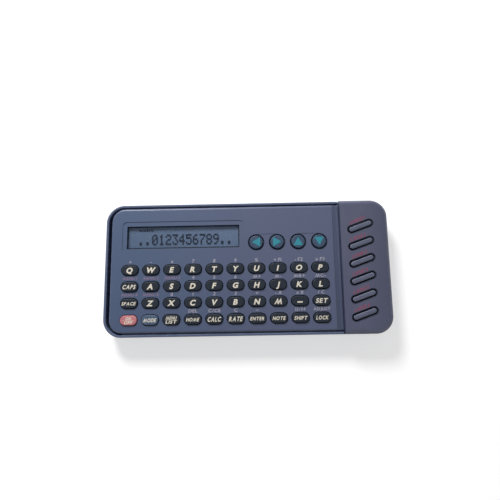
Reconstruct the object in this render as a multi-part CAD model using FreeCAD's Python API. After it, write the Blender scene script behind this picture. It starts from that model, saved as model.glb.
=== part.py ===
# Handheld electronic phrase finder with calculator keys and a slide-on hard cover.
#
# Frame: millimetres, +Z up. The unit lies on its back, with its cover stored behind it.
# X runs along the key rows, towards the raised block with the six slanted keys.
# Y runs from the bottom key row towards the display. The origin is the middle of the
# footprint, on the surface that the unit lies on.
#
# The case is symmetric about its parting plane, so that the same cover slides on
# in front of the keys or behind them, along the same pair of side grooves.
import FreeCAD, Part

import math
import os

from FreeCAD import Vector

# Slide cover
cover_wall = 1.2
cover_side_gap = 0.65
cover_end_gap = 1.6
cover_back_gap = 1.4
cover_block_gap = 0.4
cover_corner_radius = 9.0
cover_rim_chamfer = 0.3
cover_rim_drop = 0.4
runner_height = 1.4
runner_reach = 1.25
groove_depth = 0.9
groove_clearance = 0.3
grip_count = 5
grip_pitch = 2.4
grip_width = 1.0
grip_depth = 0.35
grip_length = 24.0

# Case
plate_thickness = 1.6
side_wall = 1.8
panel_corner_radius = 6.7
panel_edge_radius = 1.2
back_edge_chamfer = 0.8
block_wall = 1.5
block_corner_radius = 8.5
block_edge_radius = 2.6
channel_width = 1.8
channel_depth = 0.45
ridge_width = 1.2
ridge_drop = 0.2
joint_width = 0.5
joint_depth = 1.0

# Letter keys
key_columns = 10
key_rows = 4
key_pitch_x = 10.5
key_pitch_y = 8.2
key_margin_left = 10.0
key_margin_right = 10.6
key_margin_top = 31.65
key_margin_bottom = 6.45
key_length = 8.6
key_width = 5.1
key_gap = 0.35
key_draft = 0.2
key_proud = 0.9
flange_thickness = 0.7
flange_clearance = 0.15
flange_side_gap = 0.6
flange_row_gap = 1.8

# Arrow keys
arrow_count = 4
arrow_from_display = 8.4
arrow_from_top = 18.55
arrow_radius = 3.5
arrow_gap = 0.5
arrow_flange = 1.0

# Language keys in the raised block
language_count = 6
language_pitch = 8.65
language_from_joint = 9.8
language_from_top = 13.7
language_slant = 19.5
language_length = 12.0
language_width = 2.6
language_gap = 0.55
language_bevel = 0.35
language_bevel_depth = 0.5
language_proud = 0.4
language_crown = 0.8
language_crown_inset = 0.35
language_flange = 1.1
plunger_length = 5.0
plunger_width = 1.6

# Rubber key mat
mat_thickness = 0.7
dome_height = 1.2
dome_clearance = 0.05
dome_length = 4.2
dome_width = 3.0
dome_inset = 0.5
mat_border = 5.4
mat_strip_width = 10.0

# Display
display_length = 56.7
display_width = 11.6
display_from_left = 36.25
display_from_top = 15.05
display_recess_border_x = 2.3
display_recess_border_y = 2.3
display_recess_radius = 2.2
display_recess_depth = 0.3
window_lip = 1.3
window_thickness = 1.0
window_seat_depth = 0.5
window_clearance = 0.15
glass_thickness = 1.7
glass_border_x = 1.65
glass_border_y = 2.7
glass_clearance = 0.1
connector_width = 2.0
connector_inset = 0.5

# Circuit board
board_thickness = 1.0
board_clearance = 0.4
board_block_margin = 3.9
chip_radius = 5.0
chip_height = 1.0

# Button cells and their door
cell_count = 2
cell_diameter = 20.0
cell_thickness = 3.2
cell_spacing = 22.0
cell_clearance = 0.15
cell_contact_gap = 0.3
contact_thickness = 0.2
contact_width = 3.0
tray_end_wall = 0.5
tray_border = 3.2
door_thickness = 1.5
door_end_wall = 1.2
door_clearance = 0.2
door_border = 1.0
door_height = 5.6
door_tongue_reach = 1.0
door_tongue_height = 0.7
door_tongue_lift = 0.7
door_end_overlap = 0.6
door_grip_count = 4
door_grip_length = 10.0

# Screws
screw_radius = 0.95
screw_head_radius = 1.8
screw_head_height = 1.2
screw_slot_width = 0.5
screw_slot_depth = 0.5
screw_sink = 0.2
screw_grip = 2.4
screw_pilot = 0.05
screw_play = 0.2
post_radius = 2.0
post_base_radius = 2.9
post_base_height = 1.2
post_clearance = 0.35
block_post_clearance = 0.8
rib_count = 3
rib_width = 1.0

# Heights, counted up from the surface
half_height = (
    mat_thickness + dome_height + dome_clearance + flange_thickness
    + flange_clearance + plate_thickness + cover_back_gap + cover_wall
)
parting = half_height
block_top = 2 * half_height
back = cover_wall + cover_back_gap
panel = block_top - back
panel_under = panel - plate_thickness
block_under = block_top - plate_thickness
board_bottom = parting - board_thickness
flange_top = panel_under - flange_clearance
flange_bottom = flange_top - flange_thickness
key_top = panel + key_proud

# Plan, counted from the middle of the footprint
block_length = (
    block_wall + 2 * cell_clearance + cell_diameter + tray_end_wall + door_clearance + door_end_wall
)
body_length = key_margin_left + (key_columns - 1) * key_pitch_x + key_margin_right
total_length = cover_wall + cover_end_gap + body_length + block_length
body_width = key_margin_top + (key_rows - 1) * key_pitch_y + key_margin_bottom
total_width = body_width + 2 * (cover_side_gap + cover_wall)
half_width = total_width / 2
body_half = body_width / 2
right_end = total_length / 2
left_end = -total_length / 2
block_left = right_end - block_length
body_left = left_end + cover_wall + cover_end_gap
inner_left = body_left + side_wall
inner_half = body_half - side_wall

key_first_x = body_left + key_margin_left
key_first_y = body_half - key_margin_top
display_x = body_left + display_from_left
display_y = body_half - display_from_top
display_right = display_x + display_length / 2
glass_length = display_length + 2 * glass_border_x
glass_width = display_width + 2 * glass_border_y
arrow_first_x = display_right + arrow_from_display
arrow_y = body_half - arrow_from_top
language_x = block_left + language_from_joint
language_first_y = half_width - language_from_top
cell_x = block_left + block_wall + cell_clearance + cell_diameter / 2
door_half = (cell_count - 1) * cell_spacing / 2 + cell_diameter / 2 - door_clearance
tray_half = door_half + tray_border
door_left = cell_x - cell_diameter / 2 + door_border
door_inner_x = right_end - door_end_wall
flange_length = key_pitch_x - flange_side_gap
flange_width = key_pitch_y - flange_row_gap
screw_seat_depth = screw_head_height + screw_sink

# Flat sides that draw each small round form
bar_end_sides = 5
arrow_sides = 20
post_sides = 12
cell_sides = 28

OVER = 1.0
TINY = 1e-6

KEY_NAMES = [
    ["q", "w", "e", "r", "t", "y", "u", "i", "o", "p"],
    ["caps", "a", "s", "d", "f", "g", "h", "j", "k", "l"],
    ["space", "z", "x", "c", "v", "b", "n", "m", "dash", "set"],
    ["on_off", "mode", "menu", "home", "calc", "currency", "enter", "memo", "shift", "code"],
]
ARROW_NAMES = ["left", "right", "up", "down"]


def box(x0, x1, y0, y1, z0, z1):
    """A block between two corners."""
    return Part.makeBox(x1 - x0, y1 - y0, z1 - z0, Vector(x0, y0, z0))


def flat(points):
    """A flat face inside a ring of points."""
    return Part.Face(Part.makePolygon(points + points[:1]))


def ring(radius, sides):
    """Corners of a circle drawn with flat sides."""
    turns = [2 * math.pi * step / sides for step in range(sides)]
    return [(radius * math.cos(turn), radius * math.sin(turn)) for turn in turns]


def bar_outline(length, width):
    """Corners of a bar with two half-round ends."""
    radius = width / 2
    run = (length - width) / 2
    points = []
    for side in (1, -1):
        for step in range(bar_end_sides + 1):
            turn = math.pi * (step / bar_end_sides - side / 2)
            points.append((side * run + radius * math.cos(turn), radius * math.sin(turn)))
    return points


def frustum(foot, head, z0, z1):
    """An upright solid between two outlines that have the same number of corners."""
    low = [Vector(x, y, z0) for x, y in foot]
    high = [Vector(x, y, z1) for x, y in head]
    faces = [flat(low), flat(high)]
    for place in range(len(low)):
        after = (place + 1) % len(low)
        faces.append(flat([low[place], low[after], high[after], high[place]]))
    return Part.makeSolid(Part.makeShell(faces))


def disc(x, y, z0, z1, radius, sides=post_sides):
    """An upright round bar."""
    outline = ring(radius, sides)
    return frustum(outline, outline, z0, z1).translated(Vector(x, y, 0))


def prism(points_and_arcs, z0, z1):
    """Extrude a closed outline of straight and round edges between two heights."""
    face = Part.Face(Part.Wire(points_and_arcs))
    return face.extrude(Vector(0, 0, z1 - z0)).translated(Vector(0, 0, z0))


def corner_arc(x, y, radius, start):
    """A quarter circle about (x, y), anticlockwise from the start angle in degrees."""
    ends = []
    for angle in (start, start + 45, start + 90):
        turn = math.radians(angle)
        ends.append(Vector(x + radius * math.cos(turn), y + radius * math.sin(turn), 0))
    return Part.Arc(*ends).toShape()


def rounded_prism(x0, x1, half, z0, z1, left_radius, right_radius):
    """A plate across the unit, with its own corner radius at each end. 0 is square."""
    edges = []
    corners = [
        (x1, half, right_radius, 0, -1, -1),
        (x0, half, left_radius, 90, 1, -1),
        (x0, -half, left_radius, 180, 1, 1),
        (x1, -half, right_radius, 270, -1, 1),
    ]
    ends = []
    for x, y, radius, start, to_x, to_y in corners:
        if radius > 0:
            arc = corner_arc(x + to_x * radius, y + to_y * radius, radius, start)
            ends.append((arc.Vertexes[0].Point, arc.Vertexes[-1].Point, arc))
        else:
            ends.append((Vector(x, y, 0), Vector(x, y, 0), None))
    for place, (first, last, arc) in enumerate(ends):
        if arc is not None:
            edges.append(arc)
        following = ends[(place + 1) % len(ends)][0]
        edges.append(Part.makeLine(last, following))
    return prism(edges, z0, z1)


def rim_edges(shape, height, open_end):
    """The edges round a flat face at this height, without the one across open_end."""
    found = []
    for edge in shape.Edges:
        level = all(abs(vertex.Z - height) < TINY for vertex in edge.Vertexes)
        across = all(abs(vertex.X - open_end) < TINY for vertex in edge.Vertexes)
        if level and not across:
            found.append(edge)
    return found


def bar(length, width, inset, z0, z1):
    """An upright bar with round ends that is narrower by inset all round at its top."""
    foot = bar_outline(length, width)
    head = bar_outline(length - 2 * inset, width - 2 * inset)
    return frustum(foot, head, z0, z1)


def placed(shape, x, y, angle=0):
    """A copy turned about Z and moved to (x, y)."""
    copy = shape.copy()
    copy.rotate(Vector(0, 0, 0), Vector(0, 0, 1), angle)
    copy.translate(Vector(x, y, 0))
    return copy


def key_places():
    """Name and centre of each letter key."""
    for row, names in enumerate(KEY_NAMES[:key_rows]):
        for column, name in enumerate(names[:key_columns]):
            yield name, key_first_x + column * key_pitch_x, key_first_y - row * key_pitch_y


def arrow_places():
    """Name and centre of each arrow key."""
    for place, name in enumerate(ARROW_NAMES[:arrow_count]):
        yield name, arrow_first_x + place * key_pitch_x, arrow_y


def language_places():
    """Number and centre of each language key, from the top down."""
    for place in range(language_count):
        yield place + 1, language_x, language_first_y - place * language_pitch


def cell_places():
    """Centre of each button cell."""
    for place in range(cell_count):
        yield cell_x, (place - (cell_count - 1) / 2) * cell_spacing


def body_post_places():
    """Screw posts that clamp the board, in the main part of the case."""
    high_y = inner_half - post_radius - post_clearance
    flange_edge = key_first_y + flange_width / 2
    glass_edge = display_y - glass_width / 2
    low_y = (flange_edge + glass_edge) / 2
    return [
        (body_left + panel_corner_radius, high_y),
        (block_left - block_wall - 2 * post_radius, high_y),
        (key_first_x + 3 * key_pitch_x, low_y),
    ]


def block_post_places():
    """Screw posts beside the battery tray, in the raised block."""
    x = right_end - block_corner_radius + post_radius
    y = tray_half + post_base_radius + block_post_clearance
    return [(x, y), (x, -y)]


def make_front_case():
    """Front shell: key panel, raised block, display opening, key openings and posts."""
    body = rounded_prism(
        body_left, block_left + OVER, body_half, parting, panel, panel_corner_radius, 0
    )
    body = body.makeFillet(panel_edge_radius, rim_edges(body, panel, block_left + OVER))
    block = rounded_prism(
        block_left, right_end, half_width, parting, block_top, 0, block_corner_radius
    )
    block = block.makeFillet(block_edge_radius, rim_edges(block, block_top, block_left))
    case = body.fuse(block).removeSplitter()

    body_room = rounded_prism(
        inner_left, block_left + block_wall + OVER, inner_half, parting - OVER, panel_under,
        panel_corner_radius - side_wall, 0
    )
    block_room = rounded_prism(
        block_left + block_wall, right_end - block_wall, half_width - block_wall,
        parting - OVER, block_under, 0, block_corner_radius - block_wall
    )
    case = case.cut([body_room, block_room])

    posts = []
    for x, y in body_post_places():
        posts.append(disc(x, y, parting, panel_under, post_radius))
    for x, y in block_post_places():
        posts.append(disc(x, y, parting, block_under, post_radius))
    case = case.fuse(posts).removeSplitter()

    cuts = []
    opening = bar(
        key_length + 2 * key_gap, key_width + 2 * key_gap, 0, panel_under - OVER, panel + OVER
    )
    for _, x, y in key_places():
        cuts.append(placed(opening, x, y))
    for _, x, y in arrow_places():
        opening_radius = arrow_radius + arrow_gap
        cuts.append(disc(x, y, panel_under - OVER, panel + OVER, opening_radius, arrow_sides))
    slot_length = language_length + 2 * language_gap
    slot_width = language_width + 2 * language_gap
    slot = bar(slot_length, slot_width, 0, block_under - OVER, block_top + OVER)
    bevel_rise = language_bevel_depth + OVER
    bevel_grow = language_bevel * bevel_rise / language_bevel_depth
    bevel = bar(
        slot_length, slot_width, -bevel_grow, block_top - language_bevel_depth, block_top + OVER
    )
    slot = slot.fuse(bevel)
    for _, x, y in language_places():
        cuts.append(placed(slot, x, y, language_slant))
    for x, y in body_post_places() + block_post_places():
        cuts.append(disc(x, y, parting - OVER, parting + screw_grip, screw_radius + screw_pilot))
    cuts += display_cuts()
    cuts += joint_cuts()
    cuts += groove_cuts()
    return case.cut(cuts)


def display_cuts():
    """Shallow surround, opening and window seat of the display."""
    half_x = display_length / 2
    half_y = display_width / 2
    surround = rounded_prism(
        display_x - half_x - display_recess_border_x, display_x + half_x + display_recess_border_x,
        half_y + display_recess_border_y, panel - display_recess_depth, panel + OVER,
        display_recess_radius, display_recess_radius
    )
    opening = box(
        display_x - half_x, display_x + half_x, display_y - half_y, display_y + half_y,
        panel_under - OVER, panel + OVER
    )
    seat = box(
        display_x - half_x - window_lip, display_x + half_x + window_lip,
        display_y - half_y - window_lip, display_y + half_y + window_lip,
        panel_under - OVER, panel_under + window_seat_depth
    )
    return [surround.translated(Vector(0, display_y, 0)), opening, seat]


def joint_cuts():
    """Channel, low ridge and narrow joint line between the key panel and the block."""
    joint_start = block_left - joint_width
    ridge_start = joint_start - ridge_width
    channel_start = ridge_start - channel_width
    span = half_width
    return [
        box(channel_start, ridge_start, -span, span, panel - channel_depth, panel + OVER),
        box(ridge_start, joint_start, -span, span, panel - ridge_drop, panel + OVER),
        box(joint_start, block_left, -span, span, panel - joint_depth, panel + OVER),
    ]


def groove_cuts():
    """The pair of side grooves that the cover's runners follow, open at the far end."""
    reach = runner_height / 2 + groove_clearance
    floor_y = body_half - groove_depth
    grooves = []
    for side in (-1, 1):
        inner, outer = sorted((side * floor_y, side * (half_width + OVER)))
        grooves.append(box(left_end, block_left, inner, outer, parting - reach, parting + reach))
    return grooves


def make_rear_case():
    """Rear shell: back plate, deep block with the battery tray, ribs and screw posts."""
    body = rounded_prism(
        body_left, block_left + OVER, body_half, back, parting, panel_corner_radius, 0
    )
    body = body.makeChamfer(back_edge_chamfer, rim_edges(body, back, block_left + OVER))
    block = block_lower_half()
    case = body.fuse(block).removeSplitter()

    body_room = rounded_prism(
        inner_left, block_left + block_wall + OVER, inner_half, back + plate_thickness,
        parting + OVER, panel_corner_radius - side_wall, 0
    )
    block_room = rounded_prism(
        block_left + block_wall, right_end - block_wall, half_width - block_wall,
        plate_thickness, parting + OVER, 0, block_corner_radius - block_wall
    )
    case = case.cut([body_room, block_room])

    added = [
        box(
            block_left + block_wall / 2, right_end - block_wall / 2, -tray_half, tray_half,
            plate_thickness / 2, board_bottom
        )
    ]
    base_top = back + screw_seat_depth + post_base_height
    for x, y in body_post_places():
        added.append(disc(x, y, back + plate_thickness / 2, base_top, post_base_radius))
        added.append(disc(x, y, base_top, board_bottom, post_radius))
    block_base_top = screw_seat_depth + post_base_height
    for x, y in block_post_places():
        added.append(disc(x, y, plate_thickness / 2, block_base_top, post_base_radius))
        added.append(disc(x, y, block_base_top, parting, post_radius))
    rib_pitch = (key_first_y + inner_half) / (rib_count + 1)
    for place in range(rib_count):
        y = key_first_y - (place + 1) * rib_pitch
        added.append(
            box(
                inner_left + post_radius, block_left - post_radius, y - rib_width / 2,
                y + rib_width / 2, back + plate_thickness / 2, board_bottom
            )
        )
    case = case.fuse(added).removeSplitter()

    cuts = []
    for x, y in cell_places():
        pocket_top = door_thickness + door_clearance + cell_thickness + cell_contact_gap
        pocket_radius = cell_diameter / 2 + cell_clearance
        cuts.append(disc(x, y, -OVER, pocket_top, pocket_radius, cell_sides))
        cuts += contact_slots(x, y)
    cuts += door_way()
    for x, y in body_post_places():
        cuts += screw_way(x, y, back, board_bottom)
    for x, y in block_post_places():
        cuts += screw_way(x, y, 0, parting)
    cuts += groove_cuts()
    return case.cut(cuts)


def block_lower_half():
    """Outside of the raised block below the parting plane."""
    block = rounded_prism(block_left, right_end, half_width, 0, parting, 0, block_corner_radius)
    return block.makeFillet(block_edge_radius, rim_edges(block, 0, block_left))


def screw_way(x, y, face, top):
    """Counterbore and clearance hole for a screw that goes in from the back."""
    seat = face + screw_seat_depth
    return [
        disc(x, y, face - OVER, seat, screw_head_radius + screw_play),
        disc(x, y, seat - TINY, top + OVER, screw_radius + screw_play),
    ]


def door_way():
    """Room for the door's plate, its tongues and its turned-up end."""
    gap = door_clearance
    plate = box(
        door_left - gap, right_end + OVER, -door_half - gap, door_half + gap,
        -OVER, door_thickness + gap
    )
    reach = door_half + door_tongue_reach + gap
    track = box(
        door_left - gap, right_end + OVER, -reach, reach,
        door_tongue_lift - gap / 2, door_tongue_lift + door_tongue_height + gap / 2
    )
    end_reach = reach + door_end_overlap
    end = box(
        door_inner_x - gap, right_end + OVER, -end_reach, end_reach, -OVER, door_height + gap
    )
    return [plate, track, end]


def contact_slots(x, y):
    """Openings in the tray roof for the two spring contacts of one cell."""
    slots = []
    for side in (-1, 1):
        middle = x + side * cell_diameter / 4
        slots.append(
            box(
                middle - contact_thickness, middle + contact_thickness,
                y - contact_width / 2 - cell_clearance, y + contact_width / 2 + cell_clearance,
                door_thickness, parting
            )
        )
    return slots


def make_battery_door():
    """Door in the underside of the block, which wraps round its end and slides off."""
    reach = door_half + door_tongue_reach + door_end_overlap
    plate = box(
        door_left, right_end, -door_half, door_half, 0, door_thickness
    )
    tongue_reach = door_half + door_tongue_reach
    tongue_end = door_inner_x
    tongues = box(
        door_left + door_border, tongue_end, -tongue_reach, tongue_reach,
        door_tongue_lift, door_tongue_lift + door_tongue_height
    )
    end = box(door_inner_x, right_end, -reach, reach, 0, door_height)
    door = plate.fuse([tongues, end]).removeSplitter()
    door = door.common(block_lower_half())
    grips = []
    for place in range(door_grip_count):
        x = door_left + (place + 1) * grip_pitch
        half = door_grip_length / 2
        grips.append(box(x - grip_width / 2, x + grip_width / 2, -half, half, -OVER, grip_depth))
    return door.cut(grips)


def make_slide_cover():
    """Hard cover: a tray open at the block, with a runner along each long side."""
    cover_end = block_left - cover_block_gap
    rim = panel - cover_rim_drop
    shell = rounded_prism(left_end, cover_end, half_width, 0, rim, cover_corner_radius, 0)
    shell = shell.makeFillet(block_edge_radius, rim_edges(shell, 0, cover_end))
    inner_radius = cover_corner_radius - cover_wall
    room = rounded_prism(
        left_end + cover_wall, cover_end + OVER, half_width - cover_wall, cover_wall,
        rim + OVER, inner_radius, 0
    )
    floor_corner = block_edge_radius - cover_wall
    room = room.makeChamfer(floor_corner, rim_edges(room, cover_wall, cover_end + OVER))
    shell = shell.cut(room)
    shell = shell.makeChamfer(cover_rim_chamfer, rim_edges(shell, rim, cover_end))
    runner_start = left_end + cover_corner_radius
    runner_inner = half_width - cover_wall - runner_reach
    runners = []
    for side in (-1, 1):
        low, high = sorted((side * runner_inner, side * (half_width - cover_wall / 2)))
        bottom = parting - runner_height / 2
        top = parting + runner_height / 2
        runners.append(box(runner_start, cover_end, low, high, bottom, top))
    shell = shell.fuse(runners).removeSplitter()
    grips = []
    for place in range(grip_count):
        x = left_end + cover_corner_radius + place * grip_pitch
        half = grip_length / 2
        grips.append(box(x - grip_width / 2, x + grip_width / 2, -half, half, -OVER, grip_depth))
    return shell.cut(grips)


def make_letter_key():
    """Key with drafted round-ended cap on a retaining flange."""
    flange = box(
        -flange_length / 2, flange_length / 2, -flange_width / 2, flange_width / 2,
        flange_bottom, flange_top
    )
    cap = bar(key_length, key_width, key_draft, flange_top, key_top)
    return flange.fuse(cap).removeSplitter()


def make_arrow_key():
    """Round key on a square retaining flange."""
    reach = arrow_radius + arrow_flange
    flange = box(-reach, reach, -reach, reach, flange_bottom, flange_top)
    foot = ring(arrow_radius, arrow_sides)
    head = ring(arrow_radius - key_draft, arrow_sides)
    cap = frustum(foot, head, flange_top, key_top)
    return flange.fuse(cap).removeSplitter()


def make_language_key():
    """Slanted bar key with a chamfered crown, on a flange with a long plunger below."""
    top = block_top + language_proud
    shoulder = top - language_crown
    seat_top = block_under - flange_clearance
    seat_bottom = seat_top - flange_thickness
    half_length = language_length / 2 + language_flange
    half_depth = language_width / 2 + language_flange
    flange = box(-half_length, half_length, -half_depth, half_depth, seat_bottom, seat_top)
    stem = bar(language_length, language_width, 0, seat_top, shoulder)
    crown = bar(language_length, language_width, language_crown_inset, shoulder, top)
    plunger = box(
        -plunger_length / 2, plunger_length / 2, -plunger_width / 2, plunger_width / 2,
        flange_bottom, seat_bottom
    )
    return flange.fuse([stem, crown, plunger]).removeSplitter()


def make_dome():
    """Square-based rubber dome that one key stands on."""
    foot = parting + mat_thickness
    head = flange_bottom - dome_clearance
    half_x = dome_length / 2
    half_y = dome_width / 2
    corners = [(-1, -1), (1, -1), (1, 1), (-1, 1)]
    base = [(x * half_x, y * half_y) for x, y in corners]
    crown = [(x * (half_x - dome_inset), y * (half_y - dome_inset)) for x, y in corners]
    return frustum(base, crown, foot, head)


def mat_strip_low():
    """Lower end of the mat's strip under the language keys."""
    return language_first_y - (language_count - 1) * language_pitch - dome_width


def make_key_mat():
    """One rubber sheet on the board, with a dome under every key."""
    low_y = key_first_y - (key_rows - 1) * key_pitch_y - flange_width / 2
    high_y = key_first_y + flange_width / 2
    left_x = key_first_x - mat_border
    right_x = key_first_x + (key_columns - 1) * key_pitch_x + mat_border
    arrow_left = arrow_first_x - arrow_radius - arrow_flange
    arrow_high = arrow_y + mat_border
    strip_left = language_x - mat_strip_width / 2
    strip_right = language_x + mat_strip_width / 2
    language_low = mat_strip_low()
    language_high = language_first_y + dome_width
    foot = parting
    top = parting + mat_thickness
    sheet = box(left_x, right_x, low_y, high_y, foot, top)
    sheet = sheet.fuse([
        box(arrow_left, right_x, high_y - OVER, arrow_high, foot, top),
        box(right_x - OVER, strip_left + OVER, low_y + mat_border, high_y - mat_border, foot, top),
        box(strip_left, strip_right, language_low, language_high, foot, top),
    ])
    domes = []
    for _, x, y in list(key_places()) + list(arrow_places()):
        domes.append(placed(make_dome(), x, y))
    for _, x, y in language_places():
        domes.append(placed(make_dome(), x, y, language_slant))
    return sheet.fuse(domes).removeSplitter()


def make_display_window():
    """Clear window, seated from inside in the rebate round the display opening."""
    half_x = display_length / 2 + window_lip - window_clearance
    half_y = display_width / 2 + window_lip - window_clearance
    top = panel_under + window_seat_depth
    return box(
        display_x - half_x, display_x + half_x, display_y - half_y, display_y + half_y,
        top - window_thickness, top
    )


def make_lcd_panel():
    """Display glass, and the two rubber strips that join it to the board."""
    top = panel_under + window_seat_depth - window_thickness - glass_clearance
    bottom = top - glass_thickness
    left = display_x - glass_length / 2
    right = display_x + glass_length / 2
    low = display_y - glass_width / 2
    high = display_y + glass_width / 2
    glass = box(left, right, low, high, bottom, top)
    strips = []
    for start in (low + connector_inset, high - connector_inset - connector_width):
        strips.append(
            box(
                left + connector_inset, right - connector_inset, start, start + connector_width,
                parting, bottom
            )
        )
    return [glass] + strips


def make_circuit_board():
    """Board with its screw holes, its sealed chips and the spring contacts of the cells."""
    board = rounded_prism(
        inner_left + board_clearance, block_left + OVER, inner_half - board_clearance,
        board_bottom, parting, panel_corner_radius - side_wall, 0
    )
    wing_half = tray_half + post_clearance
    wing = box(
        block_left, right_end - board_block_margin, -wing_half, wing_half, board_bottom, parting
    )
    strip_left = language_x - mat_strip_width / 2
    strip_right = language_x + mat_strip_width / 2
    tab = box(strip_left, strip_right, mat_strip_low(), 0, board_bottom, parting)
    board = board.fuse([wing, tab]).removeSplitter()
    holes = []
    for x, y in body_post_places():
        holes.append(disc(x, y, board_bottom - OVER, parting + OVER, screw_radius + screw_play))
    board = board.cut(holes)
    chips = []
    for column in (2, 6):
        x = key_first_x + column * key_pitch_x
        foot = ring(chip_radius / 2, post_sides)
        head = ring(chip_radius, post_sides)
        chip = frustum(foot, head, board_bottom - chip_height, board_bottom)
        chips.append(placed(chip, x, arrow_y - chip_radius))
    board = board.fuse(chips).removeSplitter()
    return [board] + cell_contacts()


def cell_contacts():
    """Two bent spring strips over each cell, soldered to the board."""
    contacts = []
    top_of_cell = door_thickness + door_clearance + cell_thickness
    for x, y in cell_places():
        for side in (-1, 1):
            middle = x + side * cell_diameter / 4
            leaf = box(
                middle - contact_width, middle + contact_width, y - contact_width / 2,
                y + contact_width / 2, top_of_cell + TINY, top_of_cell + contact_thickness
            )
            leg = box(
                middle - contact_thickness / 2, middle + contact_thickness / 2,
                y - contact_width / 2, y + contact_width / 2, top_of_cell + TINY, board_bottom
            )
            contacts.append(leaf.fuse(leg).removeSplitter())
    return contacts


def make_coin_cells():
    """Two button cells, side by side in the tray."""
    bottom = door_thickness + door_clearance
    top = bottom + cell_thickness
    return [disc(x, y, bottom, top, cell_diameter / 2, cell_sides) for x, y in cell_places()]


def make_screw(x, y, face):
    """Slotted pan-head screw, driven from the back."""
    seat = face + screw_seat_depth
    head_bottom = face + screw_sink
    head = disc(x, y, head_bottom, seat, screw_head_radius)
    shank = disc(x, y, seat - TINY, parting + screw_grip - screw_play, screw_radius)
    slot = box(
        x - screw_head_radius - OVER, x + screw_head_radius + OVER,
        y - screw_slot_width / 2, y + screw_slot_width / 2,
        head_bottom - OVER, head_bottom + screw_slot_depth
    )
    return head.fuse(shank).cut(slot).removeSplitter()


def make_case_screws():
    """All the screws that clamp the two shells."""
    screws = [make_screw(x, y, back) for x, y in body_post_places()]
    screws += [make_screw(x, y, 0) for x, y in block_post_places()]
    return screws


def save(node, shapes):
    """Write one node as its separate solids."""
    if not isinstance(shapes, list):
        shapes = [shapes]
    solids = []
    for shape in shapes:
        solids += shape.Solids
    whole = solids[0] if len(solids) == 1 else Part.makeCompound(solids)
    whole.exportStep("parts/" + node + ".step")


def build():
    """Make every piece and write it under its node's name."""
    os.makedirs("parts", exist_ok=True)
    save("front_case", make_front_case())
    save("rear_case", make_rear_case())
    save("slide_cover", make_slide_cover())
    save("battery_door", make_battery_door())
    save("display_window", make_display_window())
    save("lcd_panel", make_lcd_panel())
    save("circuit_board", make_circuit_board())
    save("key_mat", make_key_mat())
    save("coin_cells", make_coin_cells())
    save("case_screws", make_case_screws())
    letter_key = make_letter_key()
    for name, x, y in key_places():
        save("key_" + name, placed(letter_key, x, y))
    arrow_key = make_arrow_key()
    for name, x, y in arrow_places():
        save("arrow_" + name, placed(arrow_key, x, y))
    language_key = make_language_key()
    for number, x, y in language_places():
        save("language_key_" + str(number), placed(language_key, x, y, language_slant))


build()
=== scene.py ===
import functools
import math

import bpy
import bmesh
from mathutils import Matrix, Vector


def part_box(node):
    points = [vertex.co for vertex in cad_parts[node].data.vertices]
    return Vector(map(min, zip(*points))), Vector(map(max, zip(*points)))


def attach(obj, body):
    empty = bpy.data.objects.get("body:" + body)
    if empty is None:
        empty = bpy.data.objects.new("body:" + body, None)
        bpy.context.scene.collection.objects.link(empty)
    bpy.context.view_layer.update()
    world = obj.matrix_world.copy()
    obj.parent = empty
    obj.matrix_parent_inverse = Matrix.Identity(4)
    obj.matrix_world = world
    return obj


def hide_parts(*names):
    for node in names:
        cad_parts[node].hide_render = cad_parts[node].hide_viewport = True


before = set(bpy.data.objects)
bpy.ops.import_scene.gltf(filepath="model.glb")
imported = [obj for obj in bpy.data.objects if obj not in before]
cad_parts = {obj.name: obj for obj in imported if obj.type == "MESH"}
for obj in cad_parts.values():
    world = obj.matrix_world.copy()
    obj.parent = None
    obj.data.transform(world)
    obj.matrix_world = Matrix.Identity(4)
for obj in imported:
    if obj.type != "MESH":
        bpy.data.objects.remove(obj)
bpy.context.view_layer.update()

MM = 0.001

# Camera, from the rows and columns of keys in the photograph
CAMERA_LENS = 32.4
CAMERA_SENSOR = 36.0
CAMERA_CLIP = 0.005
CAMERA_PLACE = Vector((4.66, -29.56, 232.98)) * MM
CAMERA_TARGET = Vector((1.88, 8.92, 11.4)) * MM
CAMERA_ROLL = math.radians(0.936)

# Light and floor. Each lamp has a name, place, size, power and colour.
LAMPS = (
    ("key_light", (-0.17, 0.40, 0.33), 0.2, 2.75, (1.0, 0.99, 0.98)),
    ("fill_light", (0.6, -0.5, 0.8), 0.8, 0.9, (0.96, 0.98, 1.0)),
)
WORLD_LEVEL = 0.22
WHITE = (1.0, 1.0, 1.0, 1.0)
BLACK = (0.0, 0.0, 0.0, 1.0)
FLOOR_REACH = 3.0
FLOOR_DROP = 0.02 * MM
FLOOR_NEAR = 0.2
FLOOR_NEAR_LIFT = (0.5, 0.5, 0.5, 1.0)
FLOOR_FAR = 1.6
FLOOR_FAR_LIFT = (0.9, 0.9, 0.9, 1.0)

# Case
KEY_PROUD = 0.9 * MM
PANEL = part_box("key_q")[1].z - KEY_PROUD
# Bands of painted highlight along the panel's top and left edges
PANEL_TOP_HIGHLIGHT = (30.3 * MM, 31.2 * MM)
PANEL_LEFT_HIGHLIGHT = (-68.6 * MM, -67.7 * MM)
BLOCK_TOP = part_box("front_case")[1].z
BLOCK_BEFORE_DOOR = 2.65 * MM
BLOCK_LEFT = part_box("battery_door")[0].x - BLOCK_BEFORE_DOOR
# Painted shade towards the block's right end spans these places
BLOCK_END_SHADE = (54 * MM, 70 * MM)
RIDGE_LEFT = BLOCK_LEFT - 1.65 * MM
CHANNEL_LEFT = BLOCK_LEFT - 3.5 * MM

# Print and lettering. Spaces, weights and leans are in letter heights.
PRINT_LIFT = 0.006 * MM
PRINT_DEPTH = 0.02 * MM
LETTER_STRETCH = 1.04
LETTER_SPACE = 0.17
LETTER_LEAN = 0.24
WORD_SPACE = 0.35
M_NARROWING = 0.84
GLYPH_HALF_DEPTH = 0.5
GLYPH_CURVE_STEPS = 3

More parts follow.
